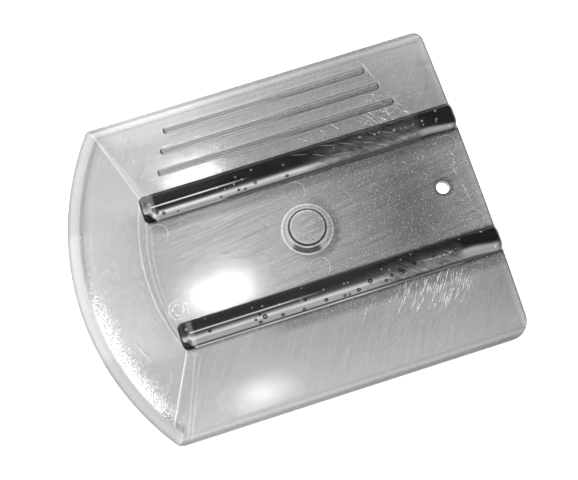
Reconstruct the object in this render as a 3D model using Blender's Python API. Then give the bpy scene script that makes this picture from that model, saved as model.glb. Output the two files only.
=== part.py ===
"""A clear moulded card for smoothing vinyl and window film.

The card lies on its flat underside. X runs across its width, Y along its length and Z up.
The curved blade points to -Y, and the straight end with the hanging hole to +Y. Left and
right are as seen from above with the hanging hole at the top. The origin is in the middle
of the card's outline, on the surface that it lies on. All lengths are in metres.
"""
import math

import bmesh
import bpy

# The plate
PLATE_LENGTH = 0.1270
PLATE_WIDTH = 0.1016
PLATE_THICKNESS = 0.0032
BACK_EDGE_BOW = 0.0008
BACK_CORNER_RADIUS_LEFT = 0.0032
BACK_CORNER_RADIUS_RIGHT = 0.0060
UNDERSIDE_EDGE_BEVEL = 0.0003

# The curved blade, ground thinner than the plate
BLADE_RADIUS = 0.0840
BLADE_TAPER_LENGTH = 0.0219
BLADE_THICKNESS = 0.0018
BLADE_CORNER_RADIUS_LEFT = 0.0020
BLADE_CORNER_RADIUS_RIGHT = 0.0032
CREASE_END_FROM_RIGHT_SIDE = 0.0063

# The bevel all round the upper edge
RIM_WIDTH_SIDE = 0.0034
RIM_WIDTH_BLADE = 0.0038
RIM_WIDTH_BACK = 0.0020
RIM_DROP = 0.0009

# The hanging hole
HOLE_DIAMETER = 0.0041
HOLE_MOUTH_DIAMETER = 0.0058
HOLE_MOUTH_DEPTH = 0.0006
HOLE_FROM_BACK = 0.0110

# The two grip bars
BAR_SPACING = 0.0407
BAR_WIDTH = 0.0082
BAR_HEIGHT = 0.0050
BAR_WALL_HEIGHT = 0.0014
BAR_CREST_WIDTH = 0.0006
BAR_CORNER_RADIUS = 0.0018
BAR_BACK_CORNER_RADIUS = 0.0030
BAR_FRONT_MARGIN = 0.0002
BAR_BACK_MARGIN = 0.0001
BAR_BACK_STEEPNESS = 0.55

# The round boss between the bars
BOSS_BASE_DIAMETER = 0.0164
BOSS_TOP_DIAMETER = 0.0114
BOSS_HEIGHT = 0.0028
BOSS_EDGE_ROUND = 0.0003
BOSS_FOOT_FLARE = 0.0008
BOSS_FROM_BACK = 0.0545

# The slim raised lines beside the left bar
LINE_COUNT = 3
LINE_WIDTH = 0.0022
LINE_HEIGHT = 0.0008
LINE_WALL_HEIGHT = 0.0003
LINE_CREST_WIDTH = 0.0006
LINE_EDGE_MARGIN = 0.00765
LINE_BAR_MARGIN = 0.00635
LINE_INNER_LENGTH = 0.0763
LINE_STAGGER = 0.0027

# The round marks that the mould's ejector pins leave
MARK_DIAMETER = 0.0060
MARK_DEPTH = 0.00012
MARK_SPACING = 0.0248
MARK_FRONT_FROM_BACK = 0.0979
MARK_BACK_FROM_BACK = 0.0056

# Clearance between a form and the plate that carries it
SEAT_GAP = 0.0003

# How finely curves are divided
ARC_STEPS_OUTER = 10
ARC_STEPS_TIP = 4
ARC_STEPS_INNER = 26
BACK_STEPS = 12
CORNER_STEPS = 6
ROUND_STEPS = 8
CREST_ROUND = 0.25
TURN_STEPS = 56
HOLE_STEPS = 32
SMOOTH_ANGLE = math.radians(25.0)
OVERCUT = 0.0010

# The rim from the plate's outer wall inwards: how far in, and how much of the drop is left
RIM_PROFILE = ((0.0, 1.0), (0.03, 0.83), (0.08, 0.70), (0.16, 0.60), (1.0, 0.0))

# The clear plastic's smoke tint and gloss, as they show on each form
PLATE_COLOUR = (0.62, 0.63, 0.64, 1.0)
PLATE_ROUGHNESS = 0.12
BAR_COLOUR = (0.32, 0.33, 0.34, 1.0)
BAR_ROUGHNESS = 0.08
RELIEF_COLOUR = (0.55, 0.56, 0.57, 1.0)

# Lines that are worked out from the sizes
HALF_WIDTH = PLATE_WIDTH / 2.0
BACK_Y = PLATE_LENGTH / 2.0
BLADE_Y = -PLATE_LENGTH / 2.0
BLADE_CENTRE_Y = BLADE_Y + BLADE_RADIUS
BACK_RADIUS = (HALF_WIDTH ** 2 + BACK_EDGE_BOW ** 2) / (2.0 * BACK_EDGE_BOW)
BACK_CENTRE_Y = BACK_Y - BACK_RADIUS
CREASE_RADIUS = BLADE_RADIUS - BLADE_TAPER_LENGTH
KINK_X = BAR_SPACING / 2.0 + BAR_WIDTH / 2.0 + BAR_FRONT_MARGIN
CREASE_END_X = HALF_WIDTH - CREASE_END_FROM_RIGHT_SIDE
BOSS_Y = BACK_Y - BOSS_FROM_BACK
HOLE_Y = BACK_Y - HOLE_FROM_BACK


def clear_scene():
    """Remove every object, so the file holds only the card."""
    for obj in list(bpy.data.objects):
        bpy.data.objects.remove(obj, do_unlink=True)


def clear_plastic(name, colour, roughness):
    """A clear hard plastic with a light smoke tint."""
    material = bpy.data.materials.new(name)
    material.use_nodes = True
    shader = material.node_tree.nodes["Principled BSDF"]
    shader.inputs["Base Color"].default_value = colour
    shader.inputs["Roughness"].default_value = roughness
    shader.inputs["Metallic"].default_value = 0.0
    return material


def new_object(name, mesh_data, material=None, smooth=True):
    """Turn a bmesh into a named object in the scene."""
    mesh = bpy.data.meshes.new(name)
    bmesh.ops.recalc_face_normals(mesh_data, faces=mesh_data.faces)
    mesh_data.to_mesh(mesh)
    mesh_data.free()
    if material:
        mesh.materials.append(material)
    if smooth:
        mesh.shade_smooth()
        mesh.set_sharp_from_angle(angle=SMOOTH_ANGLE)
    obj = bpy.data.objects.new(name, mesh)
    bpy.context.scene.collection.objects.link(obj)
    return obj


def cut(obj, cutter, name):
    """Cut one closed shape out of another, and hide the cutter."""
    modifier = obj.modifiers.new(name, "BOOLEAN")
    modifier.operation = "DIFFERENCE"
    modifier.solver = "EXACT"
    modifier.object = cutter
    cutter.hide_render = True
    cutter.display_type = "WIRE"


def spread(start, end, steps):
    """Evenly spaced values from start up to, but without, end."""
    return [start + (end - start) * i / steps for i in range(steps)]


def corner_centre(radius, half, centre_y, end_radius, towards):
    """The middle of a corner round between a side and a curved end.

    towards is -1 at the blade and +1 at the back.
    """
    x = half - radius
    y = centre_y + towards * math.sqrt((end_radius - radius) ** 2 - x ** 2)
    return x, y


def corner_points(radius, half, centre_y, end_radius, towards):
    """The right-hand corner round, from the curved end to the side."""
    x, y = corner_centre(radius, half, centre_y, end_radius, towards)
    tangent = math.atan2(y - centre_y, x)
    angles = [tangent * (1.0 - i / CORNER_STEPS) for i in range(CORNER_STEPS + 1)]
    return [(x + radius * math.cos(a), y + radius * math.sin(a)) for a in angles]


def mirrored(points):
    """The same points on the other side, in the opposite order."""
    return [(-x, y) for x, y in reversed(points)]


def outline(side, blade, back):
    """The plate's outline, anticlockwise, drawn in by three insets.

    It starts at the left end of the blade's arc. The corner rounds shrink with the side's
    inset and stop at a small radius, so that every outline has the same number of points.
    """
    half = HALF_WIDTH - side
    blade_radius = BLADE_RADIUS - blade
    back_radius = BACK_RADIUS - back
    smallest = UNDERSIDE_EDGE_BEVEL
    radii = (BLADE_CORNER_RADIUS_LEFT, BLADE_CORNER_RADIUS_RIGHT,
             BACK_CORNER_RADIUS_LEFT, BACK_CORNER_RADIUS_RIGHT)
    blade_left, blade_right, back_left, back_right = [max(r - side, smallest) for r in radii]
    front_left = mirrored(corner_points(blade_left, half, BLADE_CENTRE_Y, blade_radius, -1))
    front_right = corner_points(blade_right, half, BLADE_CENTRE_Y, blade_radius, -1)
    rear_right = corner_points(back_right, half, BACK_CENTRE_Y, back_radius, 1)[::-1]
    rear_left = mirrored(corner_points(back_left, half, BACK_CENTRE_Y, back_radius, 1)[::-1])
    start_x = front_left[-1][0]
    end_x = front_right[0][0]
    blade_xs = (spread(start_x, -KINK_X, ARC_STEPS_OUTER)
                + spread(-KINK_X, KINK_X, ARC_STEPS_INNER)
                + spread(KINK_X, CREASE_END_X, ARC_STEPS_OUTER)
                + spread(CREASE_END_X, end_x, ARC_STEPS_TIP))
    blade_arc = [(x, BLADE_CENTRE_Y - math.sqrt(blade_radius ** 2 - x ** 2)) for x in blade_xs]
    back_xs = spread(rear_right[-1][0], rear_left[0][0], BACK_STEPS)[1:]
    back_arc = [(x, BACK_CENTRE_Y + math.sqrt(back_radius ** 2 - x ** 2)) for x in back_xs]
    return blade_arc + front_right + rear_right + back_arc + rear_left + front_left[:-1]


INNER_OUTLINE = outline(RIM_WIDTH_SIDE, RIM_WIDTH_BLADE, RIM_WIDTH_BACK)
CREASE_END_RIGHT = 2 * ARC_STEPS_OUTER + ARC_STEPS_INNER
CREASE_END_LEFT = len(INNER_OUTLINE) - CORNER_STEPS // 2


def crease_y(x):
    """Where the flat top ends and the blade's taper starts.

    Between the bars the crease keeps an even distance to the blade's arc. Outside them it
    runs straight to the rim: on the left to the corner, on the right to a point short of it.
    """
    if abs(x) <= KINK_X:
        return BLADE_CENTRE_Y - math.sqrt(CREASE_RADIUS ** 2 - x ** 2)
    kink_y = BLADE_CENTRE_Y - math.sqrt(CREASE_RADIUS ** 2 - KINK_X ** 2)
    end = INNER_OUTLINE[CREASE_END_RIGHT if x > 0.0 else CREASE_END_LEFT]
    share = (abs(x) - KINK_X) / (abs(end[0]) - KINK_X)
    return kink_y + share * (end[1] - kink_y)


BLADE_INNER_Y = BLADE_CENTRE_Y - (BLADE_RADIUS - RIM_WIDTH_BLADE)
TAPER_SLOPE = (PLATE_THICKNESS - BLADE_THICKNESS) / (crease_y(0.0) - BLADE_INNER_Y)


def top_z(x, y):
    """The height of the plate's top without its rim."""
    return PLATE_THICKNESS - TAPER_SLOPE * max(crease_y(x) - y, 0.0)


def ring(mesh_data, points):
    """A closed row of vertices."""
    return [mesh_data.verts.new(p) for p in points]


def bridge(mesh_data, lower, upper):
    """A band of faces between two closed rows of vertices."""
    count = len(lower)
    for i in range(count):
        j = (i + 1) % count
        mesh_data.faces.new((lower[i], lower[j], upper[j], upper[i]))


def plate_mesh():
    """The plate with its rim and tapered blade, before any hole is cut."""
    shape = bmesh.new()
    bevel = UNDERSIDE_EDGE_BEVEL
    bottom = ring(shape, [(x, y, 0.0) for x, y in outline(bevel, bevel, bevel)])
    shape.faces.new(bottom[::-1])
    outer = outline(0.0, 0.0, 0.0)
    rows = [bottom, ring(shape, [(x, y, bevel) for x, y in outer])]
    for inset, drop in RIM_PROFILE:
        points = outline(inset * RIM_WIDTH_SIDE, inset * RIM_WIDTH_BLADE, inset * RIM_WIDTH_BACK)
        rows.append(ring(shape, [(x, y, top_z(x, y) - drop * RIM_DROP) for x, y in points]))
    for lower, upper in zip(rows, rows[1:]):
        bridge(shape, lower, upper)
    inner = rows[-1]
    blade_row = inner[:CREASE_END_RIGHT + 1]
    crease = [inner[CREASE_END_LEFT]]
    for vert in blade_row[1:-1]:
        x = vert.co.x
        crease.append(shape.verts.new((x, crease_y(x), PLATE_THICKNESS)))
    crease.append(inner[CREASE_END_RIGHT])
    for i in range(CREASE_END_RIGHT - 1):
        shape.faces.new((blade_row[i], blade_row[i + 1], crease[i + 1], crease[i]))
    shape.faces.new((blade_row[-2], blade_row[-1], crease[-2]))
    left_corner = inner[CREASE_END_LEFT + 1:] + [inner[0]]
    for first, second in zip(left_corner, left_corner[1:]):
        shape.faces.new((first, second, crease[0]))
    shape.faces.new(crease + inner[CREASE_END_RIGHT + 1:CREASE_END_LEFT])
    return shape


def turned(name, profile, steps, centre, material=None):
    """A closed solid of revolution from (radius, height) points, top to bottom."""
    shape = bmesh.new()
    rows = []
    for radius, height in profile:
        angles = [2.0 * math.pi * i / steps for i in range(steps)]
        rows.append(ring(shape, [(centre[0] + radius * math.cos(a),
                                  centre[1] + radius * math.sin(a), height) for a in angles]))
    for upper, lower in zip(rows, rows[1:]):
        bridge(shape, lower, upper)
    shape.faces.new(rows[0])
    shape.faces.new(rows[-1][::-1])
    return new_object(name, shape, material)


def loaf(name, material, middle_x, front_y, back_y, width, base_z, wall_z, top, crest, corner,
         back_corner, back_steepness):
    """A long bar with round corners whose sides and ends curve up to a narrow crest.

    Each row is the footprint drawn in a little further and lifted along a quarter ellipse.
    The back end is a round end that is pressed together lengthwise, so that it is steeper.
    """
    shape = bmesh.new()
    reach = (width - crest) / 2.0
    rows = []
    for step in range(-1, ROUND_STEPS + 1):
        share = max(step, 0) / ROUND_STEPS
        inset = reach * (1.0 - math.cos(share * math.pi / 2.0))
        height = base_z if step < 0 else wall_z + (top - wall_z) * math.sin(share * math.pi / 2.0)
        front = max(corner - inset, crest * CREST_ROUND)
        back = max(back_corner - inset, crest * CREST_ROUND)
        low = front_y + inset + front
        high = back_y - (inset + back) * back_steepness
        points = []
        corners = ((1.0, low, front, 1.0, -90.0), (1.0, high, back, back_steepness, 0.0),
                   (-1.0, high, back, back_steepness, 90.0), (-1.0, low, front, 1.0, 180.0))
        for side, y, radius, stretch, start in corners:
            x = middle_x + side * (width / 2.0 - inset - radius)
            for i in range(CORNER_STEPS + 1):
                angle = math.radians(start + 90.0 * i / CORNER_STEPS)
                points.append((x + radius * math.cos(angle),
                               y + stretch * radius * math.sin(angle), height))
        rows.append(ring(shape, points))
    for lower, upper in zip(rows, rows[1:]):
        bridge(shape, lower, upper)
    shape.faces.new(rows[0][::-1])
    shape.faces.new(rows[-1])
    return new_object(name, shape, material)


def build_plate():
    """The plate, its hanging hole and the ejector marks."""
    material = clear_plastic("plate_plastic", PLATE_COLOUR, PLATE_ROUGHNESS)
    plate = new_object("blade_plate", plate_mesh(), material)
    hole_radius = HOLE_DIAMETER / 2.0
    mouth_radius = HOLE_MOUTH_DIAMETER / 2.0
    flare = (mouth_radius - hole_radius) / HOLE_MOUTH_DEPTH
    profile = ((mouth_radius + flare * OVERCUT, PLATE_THICKNESS + OVERCUT),
               (hole_radius, PLATE_THICKNESS - HOLE_MOUTH_DEPTH),
               (hole_radius, -OVERCUT))
    cut(plate, turned("hole_cutter", profile, HOLE_STEPS, (0.0, HOLE_Y)), "hanging_hole")
    radius = MARK_DIAMETER / 2.0
    profile = ((radius, PLATE_THICKNESS + OVERCUT), (radius, PLATE_THICKNESS - MARK_DEPTH))
    rows = {"front": BACK_Y - MARK_FRONT_FROM_BACK, "middle": BOSS_Y, "back": BACK_Y - MARK_BACK_FROM_BACK}
    for row, y in rows.items():
        for side, x in (("left", -MARK_SPACING / 2.0), ("right", MARK_SPACING / 2.0)):
            name = "mark_" + row + "_" + side
            cut(plate, turned(name + "_cutter", profile, HOLE_STEPS, (x, y)), name)
    return plate


def build_bars():
    """The two grip bars, cut underneath to the plate's own shape with the seat gap."""
    seat = new_object("seat_cutter", plate_mesh(), smooth=False)
    seat.location.z = SEAT_GAP
    reach_x = BAR_SPACING / 2.0 + BAR_WIDTH / 2.0 - BAR_CORNER_RADIUS
    front_y = crease_y(reach_x) + BAR_FRONT_MARGIN
    back_y = BACK_CENTRE_Y + math.sqrt(BACK_RADIUS ** 2 - KINK_X ** 2) - BAR_BACK_MARGIN
    material = clear_plastic("bar_plastic", BAR_COLOUR, BAR_ROUGHNESS)
    for side, x in (("left", -BAR_SPACING / 2.0), ("right", BAR_SPACING / 2.0)):
        bar = loaf("grip_bar_" + side, material, x, front_y, back_y, BAR_WIDTH,
                   PLATE_THICKNESS - RIM_DROP, PLATE_THICKNESS + BAR_WALL_HEIGHT,
                   PLATE_THICKNESS + BAR_HEIGHT, BAR_CREST_WIDTH, BAR_CORNER_RADIUS,
                   BAR_BACK_CORNER_RADIUS, BAR_BACK_STEEPNESS)
        cut(bar, seat, "seat")


def build_boss():
    """The low round boss: a rounded top edge, a sloping flank and a flared foot."""
    base = BOSS_BASE_DIAMETER / 2.0
    top = BOSS_TOP_DIAMETER / 2.0
    high = PLATE_THICKNESS + BOSS_HEIGHT
    low = PLATE_THICKNESS + SEAT_GAP
    half_flare = BOSS_FOOT_FLARE / 2.0
    foot = low + half_flare
    slope = (base - BOSS_FOOT_FLARE - top) / (high - BOSS_EDGE_ROUND - foot)
    edge = BOSS_EDGE_ROUND * CREST_ROUND
    profile = ((top - BOSS_EDGE_ROUND, high),
               (top - edge, high - edge),
               (top, high - BOSS_EDGE_ROUND),
               (base - BOSS_FOOT_FLARE - slope * half_flare / 2.0, foot + half_flare / 2.0),
               (base - half_flare, low + half_flare / 3.0),
               (base, low))
    turned("centre_boss", profile, TURN_STEPS, (0.0, BOSS_Y),
           clear_plastic("boss_plastic", RELIEF_COLOUR, PLATE_ROUGHNESS))


def build_lines():
    """Slim raised lines, each a little longer than the one outside it."""
    outer_x = HALF_WIDTH - LINE_EDGE_MARGIN
    inner_x = BAR_SPACING / 2.0 + BAR_WIDTH / 2.0 + LINE_BAR_MARGIN
    material = clear_plastic("line_plastic", RELIEF_COLOUR, PLATE_ROUGHNESS)
    for index in range(LINE_COUNT):
        share = index / (LINE_COUNT - 1)
        x = outer_x + (inner_x - outer_x) * share
        half_length = LINE_INNER_LENGTH / 2.0 - LINE_STAGGER * (LINE_COUNT - 1 - index)
        loaf("raised_line_" + str(index + 1), material, -x, BOSS_Y - half_length,
             BOSS_Y + half_length, LINE_WIDTH, PLATE_THICKNESS + SEAT_GAP,
             PLATE_THICKNESS + LINE_WALL_HEIGHT, PLATE_THICKNESS + LINE_HEIGHT,
             LINE_CREST_WIDTH, LINE_WIDTH / 2.0, LINE_WIDTH / 2.0, 1.0)


def main():
    clear_scene()
    build_plate()
    build_bars()
    build_boss()
    build_lines()


main()
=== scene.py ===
# %% [markdown]
# # A clear moulded smoothing card
#
# The object is one clear plastic card: a thin plate with a curved blade at one end, two thick
# grip bars, a low boss and three slim raised lines. Clear plastic has almost no colour of its
# own. What the eye reads is its outline, the light that its edges bend away, the lamps that
# it mirrors and the wear on its skin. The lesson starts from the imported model, because every
# finished piece has to stay where its solid is.

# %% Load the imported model
import math

import bmesh
import bpy
from mathutils import Matrix, Vector


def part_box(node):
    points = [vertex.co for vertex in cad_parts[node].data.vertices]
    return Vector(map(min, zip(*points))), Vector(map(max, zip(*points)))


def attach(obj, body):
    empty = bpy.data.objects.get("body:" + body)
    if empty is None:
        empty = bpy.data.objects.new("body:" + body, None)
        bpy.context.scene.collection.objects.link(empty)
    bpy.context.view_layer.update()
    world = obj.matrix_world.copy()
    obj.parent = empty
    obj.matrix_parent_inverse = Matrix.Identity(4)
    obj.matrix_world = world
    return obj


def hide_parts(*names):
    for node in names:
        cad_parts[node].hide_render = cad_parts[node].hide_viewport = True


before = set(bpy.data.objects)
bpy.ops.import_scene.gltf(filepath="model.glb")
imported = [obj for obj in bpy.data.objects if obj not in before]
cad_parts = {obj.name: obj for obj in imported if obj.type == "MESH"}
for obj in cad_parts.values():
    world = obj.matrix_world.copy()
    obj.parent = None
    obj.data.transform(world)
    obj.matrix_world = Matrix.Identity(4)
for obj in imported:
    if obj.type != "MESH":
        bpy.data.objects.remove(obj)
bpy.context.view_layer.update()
print("packed nodes:", ", ".join(sorted(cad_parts)))

# %% [markdown]
# ## Sizes
#
# All lengths are in metres, as Blender has them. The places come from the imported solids'
# boxes, so only the shapes that a box can't tell are written here.

# %% Read places from the solids and name the rest
MM = 0.001
plate_low, plate_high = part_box("blade_plate")
HALF_WIDTH = plate_high.x
BACK_Y = plate_high.y
PLATE_TOP = plate_high.z
BLADE_RADIUS = 84.0 * MM
BLADE_CENTRE_Y = plate_low.y + BLADE_RADIUS
CREASE_RADIUS = 62.1 * MM
bars = {side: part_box("grip_bar_" + side) for side in ("left", "right")}
bar_x = {side: (low.x + high.x) / 2 for side, (low, high) in bars.items()}
BAR_WIDTH = bars["left"][1].x - bars["left"][0].x
BAR_FRONT_Y = bars["left"][0].y
BAR_BACK_Y = bars["left"][1].y
BAR_TOP = bars["left"][1].z
boss_low, boss_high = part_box("centre_boss")
BOSS_Y = (boss_low.y + boss_high.y) / 2
SINK = 0.05 * MM
print(f"plate {2000 * HALF_WIDTH:.1f} mm wide, top at {1000 * PLATE_TOP:.1f} mm")

# %% [markdown]
# ## Small helpers for modelling
#
# The pieces are made as by hand, with operators that work on whatever is selected. Loading the
# model leaves its solids selected, so each piece starts by dropping that selection.

# %% Helpers for selecting and finishing a piece
def start_clean():
    """Go back to object mode with nothing selected."""
    if bpy.context.object and bpy.context.object.mode != "OBJECT":
        bpy.ops.object.mode_set(mode="OBJECT")
    bpy.ops.object.select_all(action="DESELECT")


def select_points(obj, keep):
    """In edit mode, select only the points whose place keep() says yes to."""
    mesh = bmesh.from_edit_mesh(obj.data)
    for vert in mesh.verts:
        vert.select_set(keep(vert.co))
    mesh.select_flush_mode()
    bmesh.update_edit_mesh(obj.data)


def apply_modifier(obj, kind, **settings):
    """Add a modifier, set it up and apply it to the mesh."""
    modifier = obj.modifiers.new(kind.title(), kind)
    for name, value in settings.items():
        setattr(modifier, name, value)
    bpy.context.view_layer.objects.active = obj
    bpy.ops.object.modifier_apply(modifier=modifier.name)


def settle(obj, name, smooth_angle=35.0):
    """Name a finished piece, put its place into its mesh and shade its round faces smooth."""
    start_clean()
    obj.name = name
    obj.select_set(True)
    bpy.context.view_layer.objects.active = obj
    bpy.ops.object.transform_apply(location=True, rotation=True, scale=True)
    bpy.ops.object.shade_smooth_by_angle(angle=math.radians(smooth_angle))
    print(name, len(obj.data.polygons), "faces")
    return obj


# %% [markdown]
# ## The plate
#
# On the real card the plate, its bevelled rim and the thin blade come out of the mould in one
# go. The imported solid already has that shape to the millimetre, so the visible plate starts
# as a copy of it. The copy is loose triangles: they are merged, and flat areas become single
# faces again. Then a fine bevel breaks the sharp edges, because a mould never leaves a
# perfect edge, and a bevelled edge is what catches the light.

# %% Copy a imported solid
MERGE_DISTANCE = 1e-6
FLAT_ANGLE = math.radians(0.05)


def copy_of_node(node, name):
    """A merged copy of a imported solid, free of any parent."""
    start_clean()
    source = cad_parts[node]
    obj = bpy.data.objects.new(name, source.data.copy())
    bpy.context.scene.collection.objects.link(obj)
    obj.data.materials.clear()
    obj.select_set(True)
    bpy.context.view_layer.objects.active = obj
    bpy.ops.object.mode_set(mode="EDIT")
    bpy.ops.mesh.select_all(action="SELECT")
    bpy.ops.mesh.remove_doubles(threshold=MERGE_DISTANCE)
    bpy.ops.mesh.dissolve_limited(angle_limit=FLAT_ANGLE)
    bpy.ops.object.mode_set(mode="OBJECT")
    return obj


plate = copy_of_node("blade_plate", "clear_card")
seat = copy_of_node("blade_plate", "seat")
seat.location.z = -SINK
print("merged plate:", len(plate.data.polygons), "faces")

# %% [markdown]
# The blade meets the flat plate at a crease of only a few degrees. Smooth shading would blur it
# away, so the edges between nearly level faces are marked sharp when they bend at all.

# %% Break the plate's edges and keep its crease
EDGE_BREAK = 0.10 * MM
BROKEN_ANGLE = math.radians(28.0)
NEARLY_LEVEL = math.radians(15.0)
CREASE_ANGLE = math.radians(3.0)

apply_modifier(plate, "BEVEL", width=EDGE_BREAK, segments=2, limit_method="ANGLE",
               angle_limit=BROKEN_ANGLE)
plate = settle(plate, "clear_card")
shape = bmesh.new()
shape.from_mesh(plate.data)
for edge in shape.edges:
    level = all(face.normal.z > math.cos(NEARLY_LEVEL) for face in edge.link_faces)
    if level and edge.calc_face_angle() > CREASE_ANGLE:
        edge.smooth = False
shape.to_mesh(plate.data)
shape.free()
apply_modifier(plate, "WEIGHTED_NORMAL", weight=100, keep_sharp=True)

# %% [markdown]
# ## The grip bars
#
# A grip bar is a long loaf: a footprint with round corners that rises in a short wall and then
# curves in to a narrow crest. A box with a bevel would give the same curve on all edges, but
# the wall has to stay straight, so the bar grows from a flat footprint instead. Each inset
# draws the top in and lifts it by one step of a quarter ellipse.

# %% Grow a loaf from its footprint
def footprint(middle, size, height, corner, back_corner=None):
    """A flat plate with round corners, left in edit mode with its face selected."""
    start_clean()
    bpy.ops.mesh.primitive_plane_add(size=1.0, location=(*middle, height))
    obj = bpy.context.object
    bpy.ops.transform.resize(value=(*size, 1.0))
    bpy.ops.object.transform_apply(location=False, rotation=False, scale=True)
    bpy.ops.object.mode_set(mode="EDIT")
    for radius, end in ((corner, -1.0), (back_corner or corner, 1.0)):
        select_points(obj, lambda spot: spot.y * end > 0.0)
        bpy.ops.mesh.bevel(offset=radius, segments=8, affect="VERTICES")
    bpy.ops.mesh.select_all(action="SELECT")
    return obj


def raise_loaf(wall, crown, reach, steps, corners=()):
    """Extrude a wall, then round it over to a crown by small insets.

    One inset falls on each corner's radius, where the corner's points meet and are merged.
    """
    bpy.ops.mesh.extrude_region_move(TRANSFORM_OT_translate={"value": (0.0, 0.0, wall)})
    meets = [math.acos(1.0 - corner / reach) for corner in corners]
    inset = height = 0.0
    for angle in sorted([step / steps * math.pi / 2 for step in range(1, steps + 1)] + meets):
        new_inset = reach * (1.0 - math.cos(angle))
        new_height = crown * math.sin(angle)
        bpy.ops.mesh.inset(thickness=new_inset - inset, depth=new_height - height)
        if angle in meets:
            bpy.ops.mesh.remove_doubles(threshold=new_inset * 0.1)
        inset, height = new_inset, new_height


def close_loaf():
    """Turn all faces of the finished loaf outwards and leave edit mode."""
    bpy.ops.mesh.select_all(action="SELECT")
    bpy.ops.mesh.normals_make_consistent(inside=False)
    bpy.ops.object.mode_set(mode="OBJECT")


# %% [markdown]
# The two bars are alike, so one is grown at the left bar's place and the other is a copy. Their
# back ends are steeper than their front ends, which a resize towards the back edge gives. The
# loaf starts below the plate's top, and a Boolean then cuts it to the plate's own surface.

# %% Grow one bar, copy it and seat both
BAR_CORNER = 1.8 * MM
BAR_BACK_CORNER = 3.0 * MM
BAR_WALL = 1.4 * MM
BAR_CROWN = BAR_TOP - PLATE_TOP - BAR_WALL
BAR_CREST = 0.3 * MM
BAR_REACH = (BAR_WIDTH - BAR_CREST) / 2
BAR_ROUND_STEPS = 16
BACK_END_SQUASH = 0.55
SEAT_DEPTH = 1.0 * MM

bar_length = BAR_BACK_Y - BAR_FRONT_Y
bar = footprint((bar_x["left"], BAR_FRONT_Y + bar_length / 2), (BAR_WIDTH, bar_length),
                PLATE_TOP - SEAT_DEPTH, BAR_CORNER, BAR_BACK_CORNER)
raise_loaf(SEAT_DEPTH + BAR_WALL, BAR_CROWN, BAR_REACH, BAR_ROUND_STEPS, (BAR_CORNER, BAR_BACK_CORNER))
select_points(bar, lambda spot: spot.y > 0.0)
bpy.ops.transform.resize(value=(1.0, BACK_END_SQUASH, 1.0), center_override=(0.0, BAR_BACK_Y, 0.0))
close_loaf()
bpy.ops.object.duplicate()
bar_copy = bpy.context.object
bpy.ops.transform.translate(value=(bar_x["right"] - bar_x["left"], 0.0, 0.0))

grips = {"left": bar, "right": bar_copy}
for side, grip in grips.items():
    apply_modifier(grip, "BOOLEAN", operation="DIFFERENCE", solver="EXACT", object=seat)
    settle(grip, "clear_grip_" + side, 40.0)

# %% [markdown]
# ## The boss
#
# The boss is turned: every cut across it is a circle. A disc is extruded upwards ring by ring,
# and each ring is resized to the profile's radius. The foot flares out in a small hollow
# round, and the top edge is broken by a fine round.

# %% Work out the boss's profile
BOSS_RADIUS = (boss_high.x - boss_low.x) / 2
BOSS_TOP_RADIUS = 5.7 * MM
BOSS_ROUND = 0.3 * MM
FOOT_FLARE = 0.8 * MM
BOSS_SIDES = 96
ROUND_STEPS = 4


def boss_profile():
    """Radius and height pairs from the foot to the flat top."""
    angles = [step / ROUND_STEPS * math.pi / 2 for step in range(ROUND_STEPS + 1)]
    points = [(BOSS_RADIUS, PLATE_TOP - SINK)]
    for angle in angles:
        points.append((BOSS_RADIUS - FOOT_FLARE * math.sin(angle),
                       PLATE_TOP + FOOT_FLARE / 2 * (1.0 - math.cos(angle))))
    for angle in angles:
        points.append((BOSS_TOP_RADIUS - BOSS_ROUND * (1.0 - math.cos(angle)),
                       boss_high.z - BOSS_ROUND + BOSS_ROUND * math.sin(angle)))
    return points


profile = boss_profile()
print("boss profile:", len(profile), "rings")

# %% [markdown]
# Each extrusion leaves the new ring selected, so the resize that follows it acts on that ring
# alone.

# %% Extrude and resize ring by ring
start_clean()
bpy.ops.mesh.primitive_circle_add(vertices=BOSS_SIDES, radius=profile[0][0], fill_type="NGON",
                                  location=(0.0, BOSS_Y, profile[0][1]))
boss = bpy.context.object
bpy.ops.object.mode_set(mode="EDIT")
bpy.ops.mesh.select_all(action="SELECT")
for (radius, height), (next_radius, next_height) in zip(profile, profile[1:]):
    bpy.ops.mesh.extrude_region_move(TRANSFORM_OT_translate={"value": (0.0, 0.0, next_height - height)})
    grow = next_radius / radius
    bpy.ops.transform.resize(value=(grow, grow, 1.0))
bpy.ops.mesh.select_all(action="SELECT")
bpy.ops.mesh.normals_make_consistent(inside=False)
bpy.ops.object.mode_set(mode="OBJECT")
settle(boss, "clear_boss", 30.0)
apply_modifier(boss, "WEIGHTED_NORMAL", weight=100, keep_sharp=True)

# %% [markdown]
# ## The raised lines
#
# The three slim lines are the same loaf as the bars, only much smaller and with nearly half-round
# ends. Each takes its own length and place from its solid. The run of each line, from the middle
# of one round end to the middle of the other, is kept in millimetres for the finishes.

# %% Make the three raised lines
LINE_WALL = 0.3 * MM
LINE_CREST = 0.6 * MM
LINE_ROUND_STEPS = 6
END_ROUNDNESS = 0.45
lines = []
line_runs = []
for number in (1, 2, 3):
    low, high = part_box(f"raised_line_{number}")
    middle = (low + high) / 2
    width = high.x - low.x
    line = footprint(middle.xy, (width, high.y - low.y), PLATE_TOP - SINK, width * END_ROUNDNESS)
    raise_loaf(SINK + LINE_WALL, high.z - PLATE_TOP - LINE_WALL, (width - LINE_CREST) / 2,
               LINE_ROUND_STEPS)
    close_loaf()
    lines.append(settle(line, f"clear_line_{number}", 40.0))
    line_runs.append([(middle.x / MM, end / MM) for end in (low.y + width / 2, high.y - width / 2)])

bpy.data.objects.remove(seat)

# %% [markdown]
# ## A way to write shader maths
#
# Worn clear plastic needs many small masks: rims, lines, scratches, specks. Placing every node
# by hand would hide the idea, so one small class wraps a socket and lets Python's own signs
# add the Math nodes.

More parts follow.
